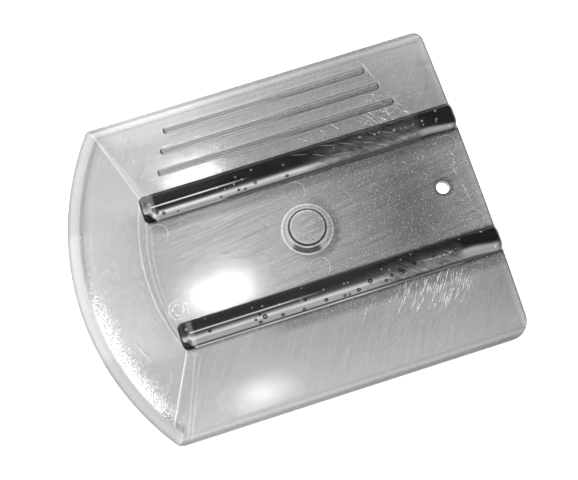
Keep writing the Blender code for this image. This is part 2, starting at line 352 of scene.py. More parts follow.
# %% Wrap a shader socket so that it works in sums
class Wire:
    """A socket of a shader tree that can be used in a Python expression."""

    def __init__(self, finish, socket):
        self.finish = finish
        self.socket = socket

    def maths(self, operation, *values):
        return self.finish.node("ShaderNodeMath", {"operation": operation}, dict(enumerate(values)))

    def __add__(self, other):
        return self.maths("ADD", self, other)

    def __sub__(self, other):
        return self.maths("SUBTRACT", self, other)

    def __rsub__(self, other):
        return self.maths("SUBTRACT", other, self)

    def __mul__(self, other):
        return self.maths("MULTIPLY", self, other)

    def __truediv__(self, other):
        return self.maths("DIVIDE", self, other)

    def __pow__(self, other):
        return self.maths("POWER", self, other)

    def __abs__(self):
        return self.maths("ABSOLUTE", self)

    def least(self, other):
        return self.maths("MINIMUM", self, other)

    def most(self, other):
        return self.maths("MAXIMUM", self, other)

    def rise(self, start, end):
        """0 below start, 1 above end, and a smooth step between them."""
        return self.finish.node("ShaderNodeMapRange", {"interpolation_type": "SMOOTHSTEP"},
                                {"Value": self, "From Min": start, "From Max": end})

    def fall(self, start, end):
        return 1.0 - self.rise(start, end)

    def near(self, middle, half, soft):
        """1 within half of middle, fading out over soft."""
        return abs(self - middle).fall(half, half + soft)

    __radd__ = __add__
    __rmul__ = __mul__


# %% [markdown]
# The nodes that aren't maths all come from one method. It sets what a node is first, such as a
# ramp's stops, and then fills or links its sockets, because the settings decide which sockets
# there are.

# %% Build a material node by node
class Finish:
    """A material that is built up node by node."""

    def __init__(self, name):
        self.material = bpy.data.materials.new(name)
        self.material.use_nodes = True
        self.tree = self.material.node_tree
        self.tree.nodes.clear()

    def node(self, kind, settings=None, sockets=None, output=0):
        """Add a node: its settings first, then the values or links of its sockets."""
        made = self.tree.nodes.new(kind)
        for name, value in (settings or {}).items():
            if name == "stops":
                elements = made.color_ramp.elements
                while len(elements) > 1:
                    elements.remove(elements[-1])
                elements[0].position, elements[0].color = value[0][0], (*[value[0][1]] * 3, 1.0)
                for place, tone in value[1:]:
                    elements.new(place).color = (tone, tone, tone, 1.0)
            else:
                setattr(made, name, value)
        for name, value in (sockets or {}).items():
            if isinstance(value, Wire):
                self.tree.links.new(value.socket, made.inputs[name])
            else:
                made.inputs[name].default_value = value
        return Wire(self, made.outputs[output]) if made.outputs else made

    def vector(self, operation, first, second, output=0):
        """Maths on vectors; distances and dot products come out of output 1."""
        return self.node("ShaderNodeVectorMath", {"operation": operation}, {0: first, 1: second}, output)

    def scaled(self, vector, factor):
        """A vector made longer or shorter by a number."""
        return self.node("ShaderNodeVectorMath", {"operation": "SCALE"}, {0: vector, "Scale": factor})

    def grey(self, number):
        """A colour whose three parts are the same number."""
        return self.node("ShaderNodeCombineXYZ", None, {0: number, 1: number, 2: number})


# %% [markdown]
# ## Coordinates in millimetres
#
# Object coordinates are metres from the card's own origin. Millimetres read better, so every
# finish starts by scaling them. Noise takes its size in millimetres too: polishing marks are
# noise that is stretched along one direction, and dust is noise cut off high up.

# %% Measure and strew in millimetres
NOISE_ROUGHNESS = 0.6


def millimetres(finish):
    """The point in millimetres, as a vector and as three numbers."""
    place = finish.scaled(finish.node("ShaderNodeTexCoord", output="Object"), 1.0 / MM)
    outputs = finish.node("ShaderNodeSeparateXYZ", None, {0: place}).socket.node.outputs
    return place, *(Wire(finish, socket) for socket in outputs)


def grain(place, size, detail=2.0, turn=0.0, shift=0.0):
    """Noise from 0 to 1 whose blots are this long and wide, turned in the card's plane."""
    mapped = place.finish.node("ShaderNodeMapping", {"vector_type": "TEXTURE"},
                               {"Vector": place, "Location": (shift, shift, 0.0),
                                "Rotation": (0.0, 0.0, math.radians(turn)),
                                "Scale": (*size, max(size))})
    return place.finish.node("ShaderNodeTexNoise", {"noise_dimensions": "3D"},
                             {"Vector": mapped, "Scale": 1.0, "Detail": detail,
                              "Roughness": NOISE_ROUGHNESS})


def streaks(place, size, detail=2.0, turn=0.0, shift=0.0):
    """The same noise from -0.5 to 0.5, to make a tone lighter and darker by turns."""
    return grain(place, size, detail, turn, shift) - 0.5


# %% [markdown]
# ## Clear plastic
#
# The plastic is a glass-like shader with a smoke tint. Lamps can't find their way through such
# glass by themselves, so for rays that go to a lamp a tinted transparent shader takes its
# place. A matt plastic is mixed in where the skin is scuffed and where a highlight is painted
# on, and a near black one on the bars' flanks as painted shade. A glow carries painted light.

# %% Build the clear plastic from its masks
PLASTIC_IOR = 1.5
MATT_ROUGHNESS = 0.6


def clear_plastic(finish, tint, to_lamps, roughness, bump=None, matt_share=None, matt_tone=0.8, glow=None,
                  ior=PLASTIC_IOR):
    """Join tint, bump, the matt share and a painted glow into one see-through surface."""
    lit = {} if glow is None else {"Emission Color": finish.grey(glow), "Emission Strength": 1.0}
    sockets = {"Base Color": finish.grey(tint), "Roughness": roughness, "IOR": ior,
               "Transmission Weight": 1.0, **lit}
    if bump is not None:
        sockets["Normal"] = bump
    surface = finish.node("ShaderNodeBsdfPrincipled", None, sockets)
    if matt_share is not None:
        matt = finish.node("ShaderNodeBsdfPrincipled", None,
                           {"Base Color": (matt_tone, matt_tone, matt_tone, 1.0),
                            "Roughness": MATT_ROUGHNESS, "Specular IOR Level": 0.0, **lit})
        surface = finish.node("ShaderNodeMixShader", None, {0: matt_share, 1: surface, 2: matt})
    clear = finish.node("ShaderNodeBsdfTransparent", None, {"Color": (to_lamps, to_lamps, to_lamps, 1.0)})
    lamp_ray = finish.node("ShaderNodeLightPath", output="Is Shadow Ray")
    surface = finish.node("ShaderNodeMixShader", None, {0: lamp_ray, 1: surface, 2: clear})
    finish.node("ShaderNodeOutputMaterial", None, {"Surface": surface})
    print(finish.material.name, len(finish.tree.nodes), "nodes")
    return finish.material


# %% [markdown]
# ## Lines, spots and ramps
#
# Wear comes in a few kinds: a straight line from here to there, a round spot, a ring. Each is a
# distance that turns into a mask. A mask is 1 on the mark and 0 away from it, and the finish
# then makes the plastic lighter or darker by it. Where a distance meets many bright and dark
# bands, a colour ramp holds them as pairs of a length and a number.

# %% Turn distances into masks and bands
SCRATCH_HALF_WIDTH = 0.03
SCRATCH_EDGE = 0.15


def ramp(distance, bands):
    """A number that follows a distance. Ramps stop at 1, so the numbers go in halved."""
    start, end = bands[0][0], bands[-1][0]
    stops = tuple(((length - start) / (end - start), number / 2) for length, number in bands)
    share = (distance - start) / (end - start)
    return distance.finish.node("ShaderNodeValToRGB", {"stops": stops}, {0: share}) * 2.0


def run_distance(place, start, end):
    """How far a point is from the straight run between two points, and where along it."""
    finish = place.finish
    start, end = Vector((*start, 0.0)), Vector((*end, 0.0))
    run = end - start
    flat = finish.vector("MULTIPLY", place, (1.0, 1.0, 0.0))
    offset = finish.vector("SUBTRACT", flat, tuple(start))
    share = finish.vector("DOT_PRODUCT", offset, tuple(run / run.length_squared), output=1)
    share = share.most(0.0).least(1.0)
    return finish.vector("DISTANCE", offset, finish.scaled(tuple(run), share), output=1), share


def scratch(place, start, end):
    """A mask for one straight scratch that thins out towards its two ends."""
    distance, share = run_distance(place, start, end)
    return distance.fall(SCRATCH_HALF_WIDTH, SCRATCH_EDGE) * (share * (1.0 - share) * 4.0) ** 0.5


def spot_distance(place, centre, scale=(1.0, 1.0)):
    """How far a point is from a spot's centre, seen from above, with x and y scaled."""
    flat = place.finish.vector("MULTIPLY", place, (*scale, 0.0))
    middle = (centre[0] * scale[0], centre[1] * scale[1], 0.0)
    return place.finish.vector("DISTANCE", flat, middle, output=1)


def total(masks):
    """Several masks as one that never passes 1."""
    masks = list(masks)
    result = masks[0]
    for mask in masks[1:]:
        result = result + mask
    return result.least(1.0)


# %% [markdown]
# ## The plate's rim
#
# Seen from above, the card is a grey pane on a bright table. Its bevelled rim bends the light
# into fine bright and dark lines, which follow the edge at fixed distances. These lines are
# painted light and shade in the tint: one ramp for each edge holds them, and where two edges
# meet, the nearer one wins, which gives the mitred corners.

# %% Measure from the edges and light the rim
PAINTED_RIM_LINES = {
    "left": (3.4, ((0.0, 1.18), (0.6, 1.1), (0.9, 0.8), (1.15, 0.94), (1.65, 1.3), (2.0, 1.45), (2.6, 1.3),
                   (3.15, 1.1), (3.5, 0.9), (4.15, 1.07), (5.0, 1.0))),
    "right": (3.4, ((0.0, 0.8), (0.15, 0.72), (0.4, 0.61), (0.9, 0.67), (1.15, 0.85), (1.4, 1.0),
                    (1.75, 1.11), (2.65, 0.9), (3.15, 1.0))),
    "blade": (3.8, ((0.0, 0.9), (0.5, 0.98), (1.2, 1.3), (2.0, 1.34), (3.5, 1.2), (4.1, 0.8), (4.45, 0.72),
                    (5.0, 0.8), (5.6, 0.95), (6.2, 0.97), (7.2, 1.05), (8.0, 1.0))),
    "back": (2.0, ((0.0, 0.6), (0.25, 0.7), (0.65, 1.0), (1.1, 1.25), (2.2, 1.1), (3.0, 1.0))),
}
BACK_BOW = 0.00031
MITRE_SOFTNESS = 0.06


def edge_distances(x, y):
    """How far a point lies inside each edge of the card, in millimetres."""
    from_centre = (x * x + (y - BLADE_CENTRE_Y / MM) ** 2.0) ** 0.5
    return {"left": x + HALF_WIDTH / MM, "right": HALF_WIDTH / MM - x,
            "blade": BLADE_RADIUS / MM - from_centre, "back": BACK_Y / MM - y - x * x * BACK_BOW}


def rim_light(inwards):
    """How much the rim's painted lines of light and shade make the card lighter or darker at a point."""
    ranks = {edge: inwards[edge] / width for edge, (width, bands) in PAINTED_RIM_LINES.items()}
    nearest = ranks["left"].least(ranks["right"]).least(ranks["blade"]).least(ranks["back"])
    light = 1.0
    for edge, (width, bands) in PAINTED_RIM_LINES.items():
        wins = (ranks[edge] - nearest).fall(0.0, MITRE_SOFTNESS)
        light = (ramp(inwards[edge], bands) - 1.0) * wins + light
    return light


print("rim lines per edge:", {edge: len(bands) for edge, (width, bands) in PAINTED_RIM_LINES.items()})

# %% [markdown]
# ## The crease and the fields
#
# The crease is an arc that kinks outside the bars. It bends the light into a fine bright line,
# and two fainter lines behind it part from it little by little; all three are painted highlights.
# The crease and the bars also divide the plate into fields, and most marks belong to one of them.
# A small class keeps these distances and fields together, so that each group of marks can be
# written by itself.

# %% Follow the crease and divide the plate
CREASE_KINK = 24.65
CREASE_SLOPES = (0.348, 0.492)
FAINT_CREASE_HIGHLIGHTS = ((2.0, (0.39, 0.39), 1.9, 0.22), (3.0, (0.42, 0.42), 3.3, 0.16))
RIM_END = (3.4, 4.8)


def behind_crease(x, y, slopes=CREASE_SLOPES, shift=0.0):
    """How far a point lies behind a line that follows the blade's crease."""
    x = x - shift
    outside = (abs(x) - CREASE_KINK).most(0.0)
    inside = abs(x).least(CREASE_KINK)
    slope = x.rise(-1.0, 1.0) * (slopes[1] - slopes[0]) + slopes[0]
    arc = ((CREASE_RADIUS / MM) ** 2 - inside * inside) ** 0.5
    return y - BLADE_CENTRE_Y / MM + arc + outside * slope


class PlateSkin:
    """The plate's finish, with the distances and fields that its marks are placed by."""

    def __init__(self, finish):
        self.place, self.x, self.y, self.z = millimetres(finish)
        self.inwards = edge_distances(self.x, self.y)
        self.behind = behind_crease(self.x, self.y)
        self.between = abs(self.x).fall(18.0, 22.0)
        past_crease = self.behind.rise(-1.0, 1.0)
        self.left = self.x.fall(-25.5, -24.0) * past_crease
        self.right = self.x.rise(24.0, 25.5) * past_crease
        sides = self.inwards["left"].least(self.inwards["right"])
        self.off_rim = sides.least(self.inwards["blade"]).rise(*RIM_END)


def crease_light(skin):
    """How much the crease's painted highlight lines add to the light."""
    fine = skin.behind.near(0.0, 0.12, 0.22) * (skin.right * 0.6 + 0.35)
    soft = skin.behind.near(-0.3, 0.3, 0.8) * skin.right * 0.25
    light = fine + soft
    for shift, slopes, distance, strength in FAINT_CREASE_HIGHLIGHTS:
        line = behind_crease(skin.x, skin.y, slopes, shift) - distance
        light = light + line.near(0.0, 0.1, 0.25) * strength
    return light * skin.inwards["blade"].rise(3.6, 4.0)


# %% [markdown]
# ## The plate's tone
#
# The tone of the flat areas falls from the blade to the back edge, a painted falloff of the
# table's light, and it is darker between the bars. The bars' shadows on the plate close beside
# them are painted too, with a dark contact line at their feet.

# %% Shade the fields and the plate beside the bars
TONE_MIDDLE = ((-64.0, 0.5), (-54.0, 0.45), (-44.0, 0.39), (-40.0, 0.35), (-22.0, 0.36), (-14.0, 0.37),
               (0.0, 0.335), (10.0, 0.3), (21.0, 0.25), (28.0, 0.217), (42.0, 0.185), (50.0, 0.225),
               (57.0, 0.26))
TONE_LEFT = ((-64.0, 0.41), (-44.0, 0.41), (-30.0, 0.43), (-14.0, 0.4), (0.0, 0.33), (14.0, 0.305),
             (28.0, 0.28), (42.0, 0.262), (50.0, 0.29), (57.0, 0.315))
TONE_RIGHT = ((-64.0, 0.41), (-44.0, 0.4), (-30.0, 0.377), (0.0, 0.356), (41.0, 0.33), (60.0, 0.29))
TONE_ACROSS = ((-48.0, 1.14), (-45.0, 1.22), (-40.0, 1.02), (-34.0, 0.95), (-28.5, 0.82), (-24.5, 0.8),
               (-16.0, 0.97), (-11.0, 0.95), (0.0, 1.0), (6.0, 1.04), (16.0, 1.04), (25.0, 0.9),
               (29.0, 0.94), (34.0, 1.0), (45.0, 1.25), (48.0, 1.28))
BAR_SHADOW = ((0.0, 0.62), (2.7, 0.66), (3.5, 0.82), (4.4, 1.0))
BAR_CONTACT_SHADE = ((0.0, 0.4), (0.35, 0.45), (0.75, 0.85), (1.1, 1.0))
FOOT_SHADE_DARKNESS = 0.42
TONE_UNDER_BAR = 0.5


def field_tone(skin):
    """The plate's grey before any mark, with the table's falloff of light painted in."""
    beside = 1.0 - skin.between
    tone = ramp(skin.y, TONE_MIDDLE) * skin.between \
        + ramp(skin.y, TONE_LEFT) * beside * skin.x.fall(-1.0, 1.0) \
        + ramp(skin.y, TONE_RIGHT) * beside * skin.x.rise(-1.0, 1.0)
    return tone * ((ramp(skin.x, TONE_ACROSS) - 1.0) * skin.behind.rise(0.0, 6.0) + 1.0)


def bar_shadows(skin):
    """How much the bars' painted shadows darken the plate beside them."""
    light = 1.0
    for side, middle in bar_x.items():
        beyond = skin.x - (middle + BAR_WIDTH / 2) / MM
        here = beyond.rise(-0.6, -0.3) * skin.y.rise(BAR_FRONT_Y / MM, BAR_FRONT_Y / MM + 2.5)
        deep = here * (skin.y.rise(-18.0, 0.0) if side == "right" else skin.behind.rise(-0.5, 5.0))
        light = light * ((ramp(beyond, BAR_CONTACT_SHADE) - 1.0) * here + 1.0)
        light = light * ((ramp(beyond, BAR_SHADOW) - 1.0) * deep + 1.0)
    # A painted dark line of shade runs along the right bar's other foot.
    before = (bar_x["right"] - BAR_WIDTH / 2) / MM - skin.x - skin.y.rise(48.0, 56.0) * 0.2
    foot_shade_line = before.rise(-0.6, -0.3) * before.fall(0.55, 0.95) * skin.y.rise(-4.0, 10.0)
    return light * (1.0 - foot_shade_line * FOOT_SHADE_DARKNESS)


print("tone between the bars:", TONE_MIDDLE[0][1], "at the blade,", TONE_MIDDLE[-1][1], "at the back")

# %% [markdown]
# ## Rubbing and moulded marks
#
# The skin isn't evenly clear. The mould was polished in long strokes, cloths have brushed the
# outer fields, and the plate is darker in a cloudy patch between the bars. The mould also left
# round ejector marks; round each one a fine ring of painted highlight, brightest towards the
# back edge, and a painted dark ring inside it show the light that its edge bends.

# %% Rub the skin and press the ejector marks
DARK_PATCH_CENTRE = (3.0, 43.0)
DARK_PATCH_SCALE = (0.04, 0.05)
DARK_PATCH_DARKNESS = 0.32
POLISH_STRENGTH = 0.85
BRUSHED_LEFT = 0.3
BRUSHED_RIGHT = 0.38
SKIN_ROUGHNESS = 0.09
ROUGHNESS_CHANGE = 0.08
EJECTOR_MARKS = [(x, y) for y in (-34.4, 9.0, 57.9) for x in (-12.4, 12.4)]
HOLE = (0.0, 52.5)
HOLE_RADIUS = 2.05
BOSS = (0.0, BOSS_Y / MM)


def rubbing(skin):
    """How rubbing and the darker patch change the light, and how rough the skin is."""
    cloud = streaks(skin.place, (2.5, 6.0), turn=15.0, detail=3.0)
    dark_patch = (spot_distance(skin.place, DARK_PATCH_CENTRE, DARK_PATCH_SCALE) + cloud * 1.2).fall(0.0, 1.1)
    polish = streaks(skin.place, (16.0, 0.55), turn=97.0, detail=3.0)
    coarse = streaks(skin.place, (0.45, 0.45), shift=21.0)
    brushed = streaks(skin.place, (12.0, 0.4), turn=-32.0, detail=3.0)
    lengthwise = streaks(skin.place, (30.0, 0.7), turn=90.0, detail=3.0, shift=15.0)
    light = 1.0 - dark_patch * DARK_PATCH_DARKNESS
    light = light * (polish * POLISH_STRENGTH * skin.between * skin.behind.rise(4.0, 12.0) + 1.0)
    light = light * (coarse * (skin.off_rim * (skin.between * 0.2 + 0.3) + 0.15) + 1.0)
    light = light * (brushed * skin.off_rim * (skin.right * BRUSHED_RIGHT + skin.left * BRUSHED_LEFT) + 1.0)
    light = light * (lengthwise * skin.left * 0.3 + 1.0)
    return light, (brushed + coarse) * ROUGHNESS_CHANGE + SKIN_ROUGHNESS


def ejector_rings(skin):
    """The painted highlight and shade that the ejector marks' rings add and take."""
    light = 0.0
    for x, y in EJECTOR_MARKS:
        distance = spot_distance(skin.place, (x, y))
        lit_side = (skin.y - y - (skin.x - x) * 0.5).rise(-1.0, 3.0)
        # A painted highlight on the ring, brightest on its lit side, and a painted dark ring inside it.
        ring_highlight = distance.near(3.0, 0.06, 0.2) * (lit_side * 0.3 + 0.12)
        light = light + ring_highlight - distance.near(2.65, 0.05, 0.2) * 0.14
    return light


def relief_shadows(skin):
    """How much painted shade round the hole's mouth and the boss's painted shadow darken the plate."""
    # The hole's mouth gets a ring of painted shade, and the boss a painted shadow on its far side.
    mouth = spot_distance(skin.place, HOLE).fall(3.0, 3.4) * 0.35
    away_from_light = (skin.x * 0.31 + (skin.y - BOSS[1]) * 0.95).rise(-3.0, 8.0)
    foot = spot_distance(skin.place, BOSS).fall(8.6, 11.5) * away_from_light * 0.3
    return (1.0 - mouth) * (1.0 - foot)


print("ejector marks:", len(EJECTOR_MARKS))

# %% [markdown]
# ## Scratches, dust and glare
#
# Deep scratches are placed one by one, where a tool has slipped. Finer ones lie close together
# like combed hair, so they are stretched noise within a field. All of them are broken up into
# dots, as real scratches glint only here and there. Dust lies in the corners that no cloth
# reaches, and clumps of specks round the mirrored lamps' images are painted glints. A glaring
# strip behind the blade's edge and the rings of one ejector mark are painted highlights.

# %% Scratch and dust the plate
STROKES = {
    "right": (
        ((27.6, 20.2), (29.6, 18.5)), ((27.9, 19.0), (31.0, 16.6)), ((27.2, 26.8), (29.9, 24.3)),
        ((23.9, 32.4), (26.1, 31.3)), ((28.8, 29.9), (33.4, 26.3)), ((27.8, 34.3), (34.1, 30.6)),
        ((26.6, 38.5), (29.6, 36.8)), ((24.9, 42.7), (29.0, 39.8)), ((24.5, 45.6), (29.1, 42.6)),
        ((32.6, 33.2), (34.2, 32.1)), ((26.6, 45.5), (29.3, 44.9)), ((26.1, 47.7), (28.0, 46.5)),
        ((25.0, 49.9), (30.5, 46.8)), ((27.7, 49.9), (31.9, 47.5)), ((29.3, 50.3), (32.8, 48.5)),
        ((30.9, 44.6), (35.2, 41.7)), ((32.4, 42.0), (33.9, 40.2)), ((33.1, 38.6), (35.4, 37.0)),
        ((29.9, 39.5), (32.7, 37.4)), ((33.7, 46.8), (35.5, 45.4)), ((35.1, 39.6), (36.6, 38.8)),
        ((26.8, 52.7), (28.2, 51.9)), ((25.8, 35.0), (27.3, 34.3)), ((32.4, 45.5), (33.7, 44.3))),
    "left": (
        ((-29.8, 36.1), (-28.1, 38.2)), ((-28.3, 38.0), (-25.6, 40.0)), ((-29.7, 38.5), (-28.2, 39.7)),
        ((-29.7, 41.7), (-28.2, 43.0)), ((-27.8, 43.8), (-26.0, 45.1)), ((-30.0, 46.3), (-27.7, 48.2)),
        ((-27.2, 48.6), (-25.6, 50.7)), ((-30.0, 25.9), (-27.1, 28.3)), ((-28.6, 14.5), (-26.6, 17.9)),
        ((-28.7, 22.5), (-27.2, 24.0)), ((-29.5, 44.0), (-28.4, 44.9)), ((-46.8, 41.3), (-39.3, 44.0))),
    "back": (
        ((-9.6, 58.4), (-8.4, 58.9)), ((-7.4, 58.5), (-5.2, 57.8)), ((-4.9, 57.8), (-2.2, 57.6)),
        ((-14.2, 54.2), (-12.9, 55.8)), ((-0.5, 58.3), (8.0, 59.1))),
    "front": (
        ((16.8, -50.8), (25.0, -47.0)), ((-3.6, -26.6), (-3.1, -25.0)), ((-5.8, -18.7), (-5.3, -17.2)),
        ((5.2, -35.2), (6.2, -32.8))),
}
DUST_AND_GLINT_SPOTS = (((-30.0, 46.0), 4.0, 15.0, 1.0), ((-38.0, 44.0), 3.0, 19.0, 0.5),
              ((10.4, -20.9), 5.0, 14.0, 0.6), ((43.0, -18.0), 3.0, 12.0, 0.6),
              ((-9.5, 39.0), 1.0, 7.0, 0.45), ((0.0, 39.0), 1.0, 13.0, 0.07), ((9.5, 41.5), 1.0, 7.0, 0.6),
              ((8.0, 20.0), 3.0, 14.0, 0.08))
DUST_AND_GLINT_WHITENESS = 0.6
HIGHLIGHTED_MARK = (11.8, -35.2)
MARK_HIGHLIGHT_STRENGTH = 0.42
COMBED_CENTRE = (30.0, 39.0)
COMBED_SCALE = (0.14, 0.06)
LEFT_COMBED_CENTRE = (-28.0, 42.0)


def scratches(skin):
    """The scratched share of the skin, single strokes and combed ones."""
    dots = grain(skin.place, (0.27, 0.27), detail=0.0, shift=5.0).rise(0.48, 0.58)
    strokes = total(scratch(skin.place, *ends) for group in STROKES.values() for ends in group)
    combed = grain(skin.place, (4.0, 0.35), turn=-32.0, detail=1.0, shift=3.0).rise(0.53, 0.62) \
        * spot_distance(skin.place, COMBED_CENTRE, COMBED_SCALE).fall(0.5, 1.0)
    left_combed = grain(skin.place, (3.0, 0.35), turn=51.0, detail=1.0, shift=17.0).rise(0.55, 0.64) \
        * spot_distance(skin.place, LEFT_COMBED_CENTRE).fall(2.0, 13.0)
    return strokes * (dots + 0.15) + (combed * 0.85 + left_combed * 0.7) * dots


def dust_and_glints(skin):
    """Specks in clumps, only near the dusty spots: dirt on most, and painted glints round the mirrored
    lamps' images.
    """
    field = total(spot_distance(skin.place, centre).fall(near, far) * amount
                  for centre, near, far, amount in DUST_AND_GLINT_SPOTS)
    clumps = grain(skin.place, (3.5, 3.5), detail=1.0, shift=15.0).rise(0.42, 0.6)
    specks = grain(skin.place, (0.4, 0.4), detail=1.0, shift=7.0).rise(0.63, 0.71)
    return specks * (clumps + 0.1).least(1.0) * field * DUST_AND_GLINT_WHITENESS


def glare(skin):
    """The painted highlights: a glaring strip behind the blade's edge and the rings of one ejector mark."""
    speckle = streaks(skin.place, (0.35, 0.35), detail=1.0, shift=11.0)
    strip = skin.inwards["blade"].fall(2.0, 12.0) * skin.x.rise(-14.0, 14.0) * skin.x.fall(34.0, 49.0)
    strip = (strip * 1.3 + speckle * 3.2 - 0.42).rise(0.0, 0.5) * skin.inwards["blade"].rise(3.4, 4.4)
    from_mark = spot_distance(skin.place, HIGHLIGHTED_MARK)
    rings = from_mark.near(2.9, 0.1, 0.25) + from_mark.near(1.7, 0.1, 0.25)
    return strip + rings * (speckle * 2.5 + 1.0).most(0.0) * MARK_HIGHLIGHT_STRENGTH


print("scratches:", sum(map(len, STROKES.values())), "dusty spots:", len(DUST_AND_GLINT_SPOTS))

# %% [markdown]
# ## The plate's finish
#
# Now the groups come together. Light factors are multiplied and fine lines are added. Under the
# bars, the boss and the raised lines the plate is made brighter, because the light passes
# through both, and a painted bright halo runs beside each raised line. The hole's wall gets
# painted shade. The grey is squared at the end, as light crosses the plate twice.

# %% Join the plate's finish
UNDERSIDE_TINT = 0.23
LIFT_UNDER_BOSS = 1.3
LIFT_UNDER_LINES = 0.8
PAINTED_HALO_BESIDE_LINES = 0.12
TO_LAMPS = 0.93
SCUFF_AND_GLARE_WHITENESS = 0.4
RIPPLE_HEIGHT = 1.5e-6


def plate_finish():
    finish = Finish("clear_plate_plastic")
    skin = PlateSkin(finish)
    rubbed, roughness = rubbing(skin)
    light = (rim_light(skin.inwards) * bar_shadows(skin) + crease_light(skin)) * rubbed
    light = (light + ejector_rings(skin)) * relief_shadows(skin)
    under_bar = abs(skin.x).near(bar_x["right"] / MM, 3.3, 0.5) * skin.y.rise(-36.0, -35.0)
    tone = field_tone(skin) * light * (1.0 - under_bar) + under_bar * TONE_UNDER_BAR
    tone = tone * (spot_distance(skin.place, BOSS).fall(7.9, 8.1) * LIFT_UNDER_BOSS + 1.0)
    for start, end in line_runs:
        from_line = run_distance(skin.place, start, end)[0]
        tone = tone * (from_line.fall(0.95, 1.1) * LIFT_UNDER_LINES + 1.0)
        # A painted bright halo beside the raised line.
        tone = tone * (from_line.near(1.5, 0.1, 0.3) * PAINTED_HALO_BESIDE_LINES + 1.0)
    top = skin.z.rise(0.35, 0.6)
    # The hole's wall is darkened with painted shade.
    hole_wall_shade = spot_distance(skin.place, HOLE).fall(HOLE_RADIUS + 0.1, HOLE_RADIUS + 0.25)
    tint = tone * tone * 2.0 * top * (1.0 - hole_wall_shade * 0.85) + UNDERSIDE_TINT * (1.0 - top)
    # The matt share holds real scratches and dust, and the painted glare, glints and mark highlights.
    matt_share = (scratches(skin) + dust_and_glints(skin) + glare(skin)).least(1.0)
    bump = finish.node("ShaderNodeBump", None, {"Strength": 1.0, "Distance": RIPPLE_HEIGHT,
                                                "Height": grain(skin.place, (0.35, 0.35))})
    return clear_plastic(finish, tint, TO_LAMPS, roughness, bump, matt_share * top * SCUFF_AND_GLARE_WHITENESS)


plate_material = plate_finish()

# %% [markdown]
# ## The bars' bands of light
#
# A thick clear bar acts as a lens. From above, one side shows the dark room and the other the
# bright table, with thin bright lines between them. Here that light and shade is painted: the
# bar's plastic is nearly black, and its bands of light are a painted glow. The far side, which
# the photograph hides, gets one painted bright line low down, as clear bars have when they are
# seen from there. The angle round the bar, measured from straight up, says which of these a
# point shows. The bands change along the bar, so each bar has a few ramps, and each takes over
# from the one before between two places along it.

# %% Say which bands each bar shows
BAR_LIGHT = {
    "left": (
        ((-65.0, -64.0), ((-90, 0.01), (-20, 0.015), (16, 0.01), (22, 0.02), (26, 0.06), (29, 0.18),
            (33, 0.66), (36, 0.82), (40, 0.66), (46, 0.41), (52, 0.31), (56, 0.29), (62, 0.37), (68, 0.31),
            (74, 0.2), (82, 0.1), (90, 0.06))),
        ((-14.0, -10.0), ((-90, 0.005), (15, 0.005), (21, 0.02), (25, 0.06), (28, 0.18), (32, 0.46),
            (36, 0.66), (39, 0.62), (43, 0.47), (52, 0.34), (56, 0.24), (60, 0.07), (64, 0.03), (70, 0.07),
            (76, 0.12), (90, 0.07))),
        ((12.0, 26.0), ((-90, 0.03), (-20, 0.03), (0, 0.045), (20, 0.07), (30, 0.11), (38, 0.17),
            (46, 0.17), (54, 0.1), (62, 0.055), (70, 0.06), (80, 0.09), (90, 0.09))),
        ((49.5, 52.5), ((-90, 0.0), (20, 0.005), (24, 0.03), (27, 0.12), (30, 0.26), (36, 0.35), (46, 0.27),
            (54, 0.18), (60, 0.03), (64, 0.01), (72, 0.04), (90, 0.05)))),
    "right": (
        ((-65.0, -64.0), ((-90, 0.01), (-8, 0.015), (4, 0.04), (9, 0.05), (12, 0.1), (15, 0.2), (21, 0.53),
            (24.5, 0.66), (28, 0.5), (33, 0.33), (38, 0.37), (46, 0.33), (50, 0.2), (52.5, 0.03),
            (56, 0.02), (59, 0.16), (64, 0.5), (69, 0.55), (76, 0.45), (84, 0.28), (90, 0.17))),
        ((17.0, 33.0), ((-90, 0.0), (-20, 0.005), (-8, 0.03), (10, 0.1), (25, 0.18), (42, 0.2), (48, 0.11),
            (52, 0.03), (55, 0.03), (60, 0.1), (66, 0.16), (76, 0.17), (90, 0.14))),
        ((49.0, 51.5), ((-90, 0.0), (0, 0.0), (5, 0.02), (9, 0.06), (13, 0.22), (18, 0.38), (24, 0.34),
            (33, 0.3), (42, 0.3), (46, 0.18), (52, 0.06), (60, 0.09), (70, 0.05), (90, 0.04)))),
}
BAR_HIGHLIGHT_LINE = {"left": (9.8, 0.8, -16.0, -2.0), "right": (1.9, 0.55, -10.0, 9.0)}
FAR_SIDE_HIGHLIGHT = (-75.0, 5.0, 9.0, 0.3)
WORN = {"left": (12.0, 24.0, 48.0, 52.0), "right": (14.0, 32.0, 48.0, 51.0)}
STROKE_TURN = {"left": 62.0, "right": 55.0}
WAVER_CLEAN = 1.5
WAVER_WORN = 16.0
TURN_AT_BACK = 10.0
for side, zones in BAR_LIGHT.items():
    print(side, "bar:", len(zones), "sets of bands")

# %% [markdown]
# Hands have worn the bars' skin near the back, where strokes cross the bands and make them
# waver. A class like the plate's keeps a bar's own places and angles together.

# %% Run the bands along a bar and wear them
class BarSkin:
    """A bar's finish, with the places and angles that its marks are placed by."""

    def __init__(self, finish, side):
        self.side = side
        self.place, self.x, self.y, self.z = millimetres(finish)
        self.across = self.x - bar_x[side] / MM
        self.above = self.z - PLATE_TOP / MM
        self.along = self.y - BAR_FRONT_Y / MM
        self.turn = self.across.maths("ARCTAN2", self.across, self.above) * (180.0 / math.pi)
        self.wobble = streaks(self.place, (8.0, 1.5), turn=90.0, detail=3.0)


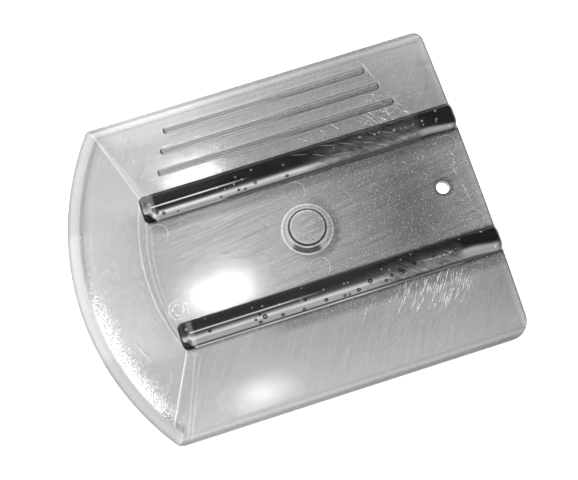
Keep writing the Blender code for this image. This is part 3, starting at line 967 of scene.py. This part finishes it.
def bar_bands(skin):
    """The painted bands of light that run along a bar, with the wear on its skin."""
    start, full, still, end = WORN[skin.side]
    worn = skin.y.rise(start, full) * skin.y.fall(still, end)
    waver = skin.wobble * (worn * skin.turn.fall(34.0, 48.0) * WAVER_WORN + WAVER_CLEAN)
    wavy = skin.turn + waver - skin.y.rise(53.0, 61.0) * TURN_AT_BACK
    light = 0.0
    for (fade_start, fade_end), bands in BAR_LIGHT[skin.side]:
        share = skin.y.rise(fade_start, fade_end)
        light = light * (1.0 - share) + ramp(wavy, bands) * share
    # A painted highlight line along the crest, and a painted bright line low on the far side.
    line_turn, line_light, line_full, line_end = BAR_HIGHLIGHT_LINE[skin.side]
    light = light + wavy.near(line_turn, 1.0, 2.4) * skin.y.fall(line_full, line_end) * line_light
    far_turn, far_half, far_soft, far_light = FAR_SIDE_HIGHLIGHT
    light = light + skin.turn.near(far_turn, far_half, far_soft) * far_light

    strokes = streaks(skin.place, (4.0, 0.4), turn=STROKE_TURN[skin.side], detail=3.0)
    patches = streaks(skin.place, (3.0, 1.6), turn=STROKE_TURN[skin.side] + 20.0, shift=13.0)
    worn = worn * skin.turn.fall(50.0, 60.0)
    light = light * (worn * (strokes * 1.6 + patches * 2.2) + 1.0) + worn * strokes * 0.08
    smear = streaks(skin.place, (0.5, 6.0), detail=3.0, shift=9.0)
    return light.most(0.0) * (smear * 0.5 + 1.0)


# %% [markdown]
# ## Bubbles and glints
#
# Small bubbles were caught in the thick bars. Where the table shines through, each is drawn as
# a dark ring. Where the bar is dark, a bubble shows as a bright dot; these glints, like those
# near the bars' ends, are painted highlights. Each spot needs only its place across and along
# and its size, because its height follows from the bar's round crown.

# %% Place the bubbles, the glints and the bars' scratches
BUBBLES = {
    "left": (
        (-17.1, -30.8, 0.59), (-17.6, -32.7, 0.56), (-16.6, -26.5, 0.31), (-16.8, -12.9, 0.37),
        (-17.1, -7.2, 0.46), (-16.9, -5.2, 0.4), (-17.6, -1.8, 0.5), (-16.9, 8.0, 0.56)),
    "right": (
        (22.5, -11.4, 0.71), (21.9, 21.4, 0.68), (23.3, 17.4, 0.62), (20.4, 48.7, 0.53), (21.4, 30.8, 0.68),
        (23.2, 7.3, 0.59), (23.5, -6.2, 0.56), (23.8, 0.3, 0.5), (21.5, 1.4, 0.4), (22.6, -14.3, 0.4),
        (23.6, -13.1, 0.56), (21.5, -12.7, 0.4), (21.7, -28.1, 0.46), (23.6, 13.0, 0.5), (23.7, 14.5, 0.4),
        (22.1, 28.0, 0.5), (20.8, 35.5, 0.56), (23.1, 26.0, 0.55), (22.2, 31.7, 0.55), (20.7, 41.7, 0.4)),
}
GLINTS = {
    "left": (
        (-19.2, -13.4, 0.31), (-18.4, -11.2, 0.31), (-18.9, -8.1, 0.43), (-20.9, -7.1, 0.4),
        (-19.6, -5.4, 0.46), (-21.6, -1.9, 0.4), (-20.1, 7.8, 0.4), (-21.4, 32.6, 0.4), (-20.8, 37.2, 0.45),
        (-21.0, 38.6, 0.4), (-20.2, 43.3, 0.55), (-20.0, 46.9, 0.3), (-20.1, 45.3, 0.3),
        (-20.2, 49.3, 0.35), (-20.4, 52.3, 0.5), (-19.2, 52.3, 0.35), (-17.3, 49.2, 0.4),
        (-22.4, 57.3, 0.5), (-19.7, 56.7, 0.4), (-19.0, 56.4, 0.35), (-16.9, 60.0, 0.4),
        (-20.7, -34.4, 0.55), (-16.8, -33.7, 0.6)),
    "right": (
        (17.7, -28.4, 0.31), (18.9, -14.3, 0.31), (19.3, -11.3, 0.4), (20.4, -6.3, 0.37), (21.1, 0.1, 0.37),
        (17.6, 1.4, 0.31), (20.2, 7.4, 0.4), (20.3, 13.7, 0.37), (20.4, 14.9, 0.34), (19.6, 25.7, 0.35),
        (20.6, 27.7, 0.35), (18.5, 32.0, 0.35), (17.9, 35.4, 0.35), (21.2, 38.8, 0.3), (21.2, 39.8, 0.3),
        (21.2, 40.6, 0.35), (21.1, 42.0, 0.3), (21.2, 43.3, 0.35), (21.1, 44.7, 0.35), (21.0, 46.6, 0.45),
        (20.8, 47.3, 0.3), (20.4, 48.7, 0.3), (17.9, 50.6, 0.35), (17.7, 57.7, 0.5), (23.1, 60.3, 0.4),
        (23.4, 60.3, 0.4), (19.1, -34.6, 0.65), (22.2, -36.2, 0.45)),
}
BAR_STROKES = {
    "left": (
        ((-21.5, 25.9), (-19.8, 30.2)), ((-21.6, 31.9), (-21.1, 33.5)), ((-21.9, 35.6), (-20.6, 37.6)),
        ((-17.7, 37.1), (-17.0, 40.1)), ((-21.2, 24.0), (-20.0, 23.9)), ((-18.1, 43.6), (-17.3, 45.7)),
        ((-22.4, 10.8), (-21.0, 15.8)), ((-18.6, 22.0), (-17.8, 29.5)), ((-22.6, 20.5), (-21.2, 24.8)),
        ((-20.6, 17.2), (-19.0, 20.6)), ((-20.8, 39.6), (-19.6, 42.9)), ((-19.4, 33.0), (-18.6, 36.2))),
    "right": (((20.9, 36.6), (21.4, 47.4)),),
}
BUBBLE_DARKNESS = 0.93
GLINT_LIGHT = 0.3
STROKE_LIGHT = 0.22


def on_bar(side, x, y):
    """The point of a bar's skin at this place, in millimetres."""
    inset = max(0.0, abs(x * MM - bar_x[side]) - BAR_CREST / 2) / BAR_REACH
    return x, y, (BAR_TOP - BAR_CROWN * (1.0 - math.sqrt(1.0 - inset ** 2))) / MM


def bar_spots(skin, spots):
    """Pairs of the distance from a spot's centre and the spot's radius."""
    for x, y, radius in spots[skin.side]:
        yield skin.place.finish.vector("DISTANCE", skin.place, on_bar(skin.side, x, y), output=1), radius


def bar_marks(skin, light):
    """The bars' light with the bubbles, painted glints and scratches in it."""
    bubbles = total(distance.near(radius * 0.68, radius * 0.3, 0.1)
                    for distance, radius in bar_spots(skin, BUBBLES))
    # Glints are painted highlights.
    glints = total(distance.fall(radius * 0.3, radius) for distance, radius in bar_spots(skin, GLINTS))
    lines = total(scratch(skin.place, *ends) for ends in BAR_STROKES[skin.side])
    return light * (1.0 - bubbles * BUBBLE_DARKNESS) + glints * GLINT_LIGHT + lines * STROKE_LIGHT


print("bubbles:", {side: len(spots) for side, spots in BUBBLES.items()})

# %% [markdown]
# ## The bars' ends and finish
#
# A bar's front end is a lens of its own: its round corner gathers the table's light in a mottled
# cap with a dark outline, a dark crescent and darker spots. The back end is dark. All of this is
# painted light and shade, given to the bar as a soft glow, because the room that a real bar
# bends into view isn't there. The flanks get a near black matt plastic as painted shade.

# %% Cap the bars' ends and join their finish
CAP_LIGHT = {
    "left": (
        (-90, 0.05), (-60, 0.12), (-30, 0.16), (-8, 0.14), (2, 0.2), (12, 0.42), (24, 0.5), (40, 0.4),
        (52, 0.34), (62, 0.1), (90, 0.08)),
    "right": (
        (-90, 0.01), (-20, 0.02), (-2, 0.03), (8, 0.12), (14, 0.5), (24, 0.58), (40, 0.4), (50, 0.25),
        (60, 0.1), (90, 0.08)),
}
CAP_SHADE_SPOTS = {"left": ((-17.5, -35.2, 7.2), 1.0), "right": ((23.0, -34.8, 7.4), 1.1)}
BAR_IOR = 1.3
BAR_SHADED_TINT = 0.0003
BAR_ROUGHNESS = 0.04
FLANK_SHADE_COVER = 0.85
FLANK_SHADE_TONE = 0.02


def bar_ends(skin, light):
    """The bars' painted light with both ends' painted light and shade in it."""
    cap = (skin.along + skin.wobble * 2.0).fall(2.9, 3.6)
    mottle = streaks(skin.place, (1.2, 1.2), shift=5.0)
    cap_shade_centre, cap_shade_radius = CAP_SHADE_SPOTS[skin.side]
    # The darker spot in each cap is painted shade.
    lens = skin.place.finish.vector("DISTANCE", skin.place, cap_shade_centre, output=1)
    lens = lens.fall(cap_shade_radius * 0.6, cap_shade_radius)
    cap_light = ramp(skin.turn, CAP_LIGHT[skin.side]) * (mottle * 1.4 + 1.0) * (1.0 - lens * 0.7)
    # A painted highlight line where the cap meets the bar.
    seam_highlight = skin.along.near(3.6, 0.3, 0.9) * skin.turn.rise(-60.0, -30.0) * 0.14
    light = light * (1.0 - cap) + cap * cap_light + seam_highlight
    # The dark outline and the dark crescent at the cap's corner are painted shade.
    crescent = (skin.along * 0.8 - skin.across).fall(-1.5, -0.9)
    light = light * (1.0 - total([skin.along.fall(0.35, 0.8), crescent]))
    # The back end is darkened with painted shade.
    return light * (1.0 - (bar_length / MM - skin.along).fall(0.8, 2.6) * 0.9)


def bar_finish(side):
    finish = Finish("clear_grip_plastic_" + side)
    skin = BarSkin(finish, side)
    light = bar_marks(skin, bar_ends(skin, bar_bands(skin))) * skin.above.rise(0.05, 0.35)
    level = skin.z.rise(PLATE_TOP / MM + 0.02, PLATE_TOP / MM + 0.12)
    # On the flanks a near black matt plastic is mixed in as painted shade.
    flank_shade_cover = skin.y.rise(44.0, 52.0) * 0.14 + FLANK_SHADE_COVER if side == "right" else FLANK_SHADE_COVER
    flank_shade = total([skin.turn.fall(-52.0, -30.0), skin.turn.rise(54.0, 66.0)]) * flank_shade_cover * level
    # The bars' near black tint is painted shade; their light comes from the painted glow.
    tint = BAR_SHADED_TINT * level + (1.0 - level)
    return clear_plastic(finish, tint, 1.0, BAR_ROUGHNESS, matt_share=flank_shade, matt_tone=FLANK_SHADE_TONE,
                         glow=light * level, ior=BAR_IOR)


bar_materials = {side: bar_finish(side) for side in bar_x}

# %% [markdown]
# ## The boss and the raised lines
#
# These are low, so the table shows through them nearly as it does beside them. Only their
# edges bend the light: the boss has a fine dark ring round its top and a bright one round its
# foot, and each raised line is dark along one side and bright along the other. These rings and
# bands are painted light and shade in the tint.

# %% Ring the boss
BOSS_LIGHT_RINGS = ((0.0, 0.96), (4.4, 0.96), (5.0, 1.2), (5.25, 1.0), (5.42, 0.06), (5.75, 0.06), (5.95, 1.15),
              (6.2, 1.45), (6.6, 1.15), (7.2, 1.05), (7.6, 1.5), (8.0, 1.45), (8.2, 1.2))
RELIEF_ROUGHNESS = 0.05


def relief_plastic(skin_height, tone, to_lamps):
    """Clear plastic with this tone above the plate and none inside it."""
    upper = skin_height.rise(PLATE_TOP / MM, PLATE_TOP / MM + 0.05)
    tint = tone * tone * 0.5 * upper + (1.0 - upper)
    return clear_plastic(tone.finish, tint, to_lamps, RELIEF_ROUGHNESS)


def boss_finish():
    finish = Finish("clear_boss_plastic")
    place, x, y, z = millimetres(finish)
    distance = spot_distance(place, BOSS)

    def towards(direction_x, direction_y):
        return (x * direction_x + (y - BOSS[1]) * direction_y) / distance

    turned = streaks(place, (6.0, 0.5), turn=97.0)
    tone = ramp(distance, BOSS_LIGHT_RINGS) * (turned * distance.fall(4.6, 5.2) * 0.8 + 1.0)
    # A painted bright crescent inside the top ring, painted shade on the side away from the lamp and
    # painted gleams round the foot.
    tone = tone + distance.near(5.1, 0.08, 0.15) * towards(-0.8, -0.2).rise(0.3, 0.7) * 0.4
    shade = towards(0.952, -0.307).rise(0.75, 0.88) * distance.near(6.9, 0.5, 0.3)
    gleam = abs(towards(-0.6, 0.8)).rise(0.55, 0.9) * distance.near(7.8, 0.12, 0.2)
    return relief_plastic(z, tone * (1.0 - shade * 0.8) + gleam * 0.6, 0.90)


boss_material = boss_finish()

# %% [markdown]
# A raised line shows different painted bands of light and shade near the blade and near the
# back, so it has two ramps across it and fades from one to the other. Its round ends get a
# painted dark ring and a painted bright dot.

# %% Band the raised lines
LINE_LIGHT_FRONT = ((-1.12, 0.85), (-0.95, 1.1), (-0.65, 1.1), (-0.42, 0.65), (-0.28, 0.33), (-0.05, 0.66),
              (0.3, 0.68), (0.55, 0.38), (0.72, 0.6), (0.88, 1.05), (1.12, 1.0))
LINE_LIGHT_BACK = ((-1.12, 0.85), (-0.95, 0.38), (-0.8, 0.33), (-0.6, 0.85), (-0.42, 0.92), (-0.2, 0.62),
             (0.1, 0.58), (0.65, 0.6), (0.85, 0.36), (1.0, 0.45), (1.12, 0.8))


def line_finish():
    finish = Finish("clear_line_plastic")
    place, x, y, z = millimetres(finish)
    tone = 0.0
    for start, end in line_runs:
        from_line = run_distance(place, start, end)[0]
        front, back = (ramp(x - start[0], bands) for bands in (LINE_LIGHT_FRONT, LINE_LIGHT_BACK))
        own = front + (back - front) * y.rise(4.0, 18.0)
        ends = (y - end[1]).rise(0.1, 0.5) + (y - start[1]).fall(-0.5, -0.1)
        own = own * (1.0 - ends * from_line.near(0.85, 0.2, 0.15) * 0.7)
        own = own + ends * from_line.fall(0.2, 0.5) * 0.3
        tone = own * from_line.fall(1.3, 1.4) + tone
    return relief_plastic(z, tone, TO_LAMPS)


line_material = line_finish()

# %% [markdown]
# ## Dress the pieces
#
# Each piece takes its material, rides on the card's only body and stands for its solid. All of
# them ride on the same body, because the real card is one stiff moulding.

# %% Put the finishes on and tie the pieces to the frame
def dress(piece, material, node):
    piece.data.materials.clear()
    piece.data.materials.append(material)
    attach(piece, "root")
    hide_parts(node)
    print(piece.name, "stands for", node)


dress(plate, plate_material, "blade_plate")
for side, grip in grips.items():
    dress(grip, bar_materials[side], "grip_bar_" + side)
dress(boss, boss_material, "centre_boss")
for number, line in enumerate(lines, 1):
    dress(line, line_material, f"raised_line_{number}")

# %% [markdown]
# ## Camera
#
# The photograph looks down on the card at a slant of about fourteen degrees. The camera was
# fitted to the card's four corners: its place, its two directions and the length of its lens.
# The length is counted in the picture's own pixels, so it is turned into millimetres of sensor.

# %% Place the camera
FOCAL_PIXELS = 1300.0
PICTURE_WIDTH = 578
PICTURE_HEIGHT = 480
SENSOR = 36.0
CAMERA_PLACE = Vector((0.0930, -0.02525, 0.3833))
CAMERA_RIGHT = Vector((0.30663, 0.95182, -0.00381))
CAMERA_FORWARD = Vector((-0.23341, 0.07131, -0.96976))

camera_data = bpy.data.cameras.new("camera")
camera_data.sensor_width = SENSOR
camera_data.lens = FOCAL_PIXELS / PICTURE_WIDTH * SENSOR
camera_data.clip_start = 0.01
camera = bpy.data.objects.new("camera", camera_data)
bpy.context.scene.collection.objects.link(camera)
bpy.context.scene.camera = camera
backward = -CAMERA_FORWARD.normalized()
upward = backward.cross(CAMERA_RIGHT).normalized()
rightward = upward.cross(backward).normalized()
camera.matrix_world = Matrix.Translation(CAMERA_PLACE) @ Matrix(
    (rightward, upward, backward)).transposed().to_4x4()
print(f"lens {camera_data.lens:.1f} mm, {CAMERA_PLACE.z:.3f} m above the table")

# %% [markdown]
# ## Floor
#
# The card lies on a plain pale table that fills the picture. The table has no gloss, so that it
# shows nothing but light and the card's faint shadow.

# %% Lay the floor
FLOOR_GAP = 0.2 * MM
FLOOR_SIZE = 4.0
FLOOR_TONE = 0.85

start_clean()
bpy.ops.mesh.primitive_plane_add(size=FLOOR_SIZE, location=(0.0, 0.0, -FLOOR_GAP))
floor = bpy.context.object
floor.name = "floor"
floor_finish = Finish("pale_floor")
floor_surface = floor_finish.node("ShaderNodeBsdfPrincipled", None,
                                  {"Base Color": (FLOOR_TONE, FLOOR_TONE, FLOOR_TONE, 1.0),
                                   "Roughness": 0.9, "Specular IOR Level": 0.0})
floor_finish.node("ShaderNodeOutputMaterial", None, {"Surface": floor_surface})
floor.data.materials.append(floor_finish.material)
print("floor", FLOOR_SIZE, "m wide")

# %% [markdown]
# ## Light
#
# One lamp high on the blade's side lights the table and the card. A dim white room fills in the
# rest. An area lamp shines along its own -Z, so it is turned until that axis points at what it
# lights. Rays that the card mirrors or bends don't see this lamp, because its square shape would
# show in the clear plastic.

# %% Hang the key lamp and fill the room with dim light
KEY_DIRECTION = Vector((-0.36, -0.40, 1.0)).normalized()
KEY_DISTANCE = 0.6
KEY_SIZE = (0.10, 0.10)
KEY_POWER = 10.0
ROOM_STRENGTH = 0.3


def hang_lamp(name, place, towards, size, power, long_side=Vector((1.0, 0.0, 0.0)), shape="RECTANGLE"):
    """An area lamp whose long side lies as near to a direction as it can."""
    data = bpy.data.lights.new(name, "AREA")
    data.shape = shape
    data.size, data.size_y = size
    data.energy = power
    lamp = bpy.data.objects.new(name, data)
    bpy.context.scene.collection.objects.link(lamp)
    facing = (Vector(place) - Vector(towards)).normalized()
    across = (long_side - facing * long_side.dot(facing)).normalized()
    lamp.matrix_world = Matrix.Translation(place) @ Matrix(
        (across, facing.cross(across), facing)).transposed().to_4x4()
    return lamp


key_lamp = hang_lamp("key_lamp", KEY_DIRECTION * KEY_DISTANCE, (0.0, 0.0, 0.0), KEY_SIZE, KEY_POWER)
key_lamp.visible_glossy = False
key_lamp.visible_transmission = False

world = bpy.data.worlds.new("dim_room")
bpy.context.scene.world = world
world.use_nodes = True
background = world.node_tree.nodes["Background"]
background.inputs["Color"].default_value = (1.0, 1.0, 1.0, 1.0)
background.inputs["Strength"].default_value = ROOM_STRENGTH
bpy.context.scene.view_settings.view_transform = "Standard"
bpy.context.scene.cycles.caustics_refractive = False
bpy.context.scene.cycles.caustics_reflective = False
print("key lamp", KEY_POWER, "W, room", ROOM_STRENGTH)

# %% [markdown]
# ## Mirrored lamps
#
# The plate is also a mirror, and the bright patches on it are images of lamps. To put an image
# in its place, a ray goes from the camera through the middle of the patch, and a lamp hangs
# where the ray goes on after it bounces off the plate. These lamps light the plate alone, or
# they would whiten the bars.

# %% Hang the lamps that the plate mirrors
BETWEEN_BARS_PIXEL = (221, 292)
ABOVE_BAR_PIXEL = (192, 175)
LOWER_FIELD_PIXEL = (263, 393)
MIRRORED_DISTANCE = 1.2

mirrored_in = bpy.data.collections.new("lit_by_mirrored_lamps")
mirrored_in.objects.link(plate)


def mirrored_lamp(name, pixel, size, power, shape="ELLIPSE"):
    """Hang a lamp where its image falls on this pixel. Sizes are in metres, power in watts."""
    ray = (rightward * (pixel[0] - PICTURE_WIDTH / 2) - upward * (pixel[1] - PICTURE_HEIGHT / 2)
           - backward * FOCAL_PIXELS).normalized()
    hit = CAMERA_PLACE + ray * ((PLATE_TOP - CAMERA_PLACE.z) / ray.z)
    bounce = Vector((ray.x, ray.y, -ray.z))
    lamp = hang_lamp(name, hit + bounce * MIRRORED_DISTANCE, hit, size, power,
                     Vector((0.0, 1.0, 0.0)), shape)
    lamp.light_linking.receiver_collection = mirrored_in
    print(f"{name} shows at {hit.x / MM:.0f}, {hit.y / MM:.0f} mm")


mirrored_lamp("lamp_between_bars", BETWEEN_BARS_PIXEL, (0.084, 0.032), 0.27)
mirrored_lamp("lamp_above_bar", ABOVE_BAR_PIXEL, (0.066, 0.022), 0.19, "RECTANGLE")
mirrored_lamp("lamp_lower_field", LOWER_FIELD_PIXEL, (0.080, 0.008), 0.075)
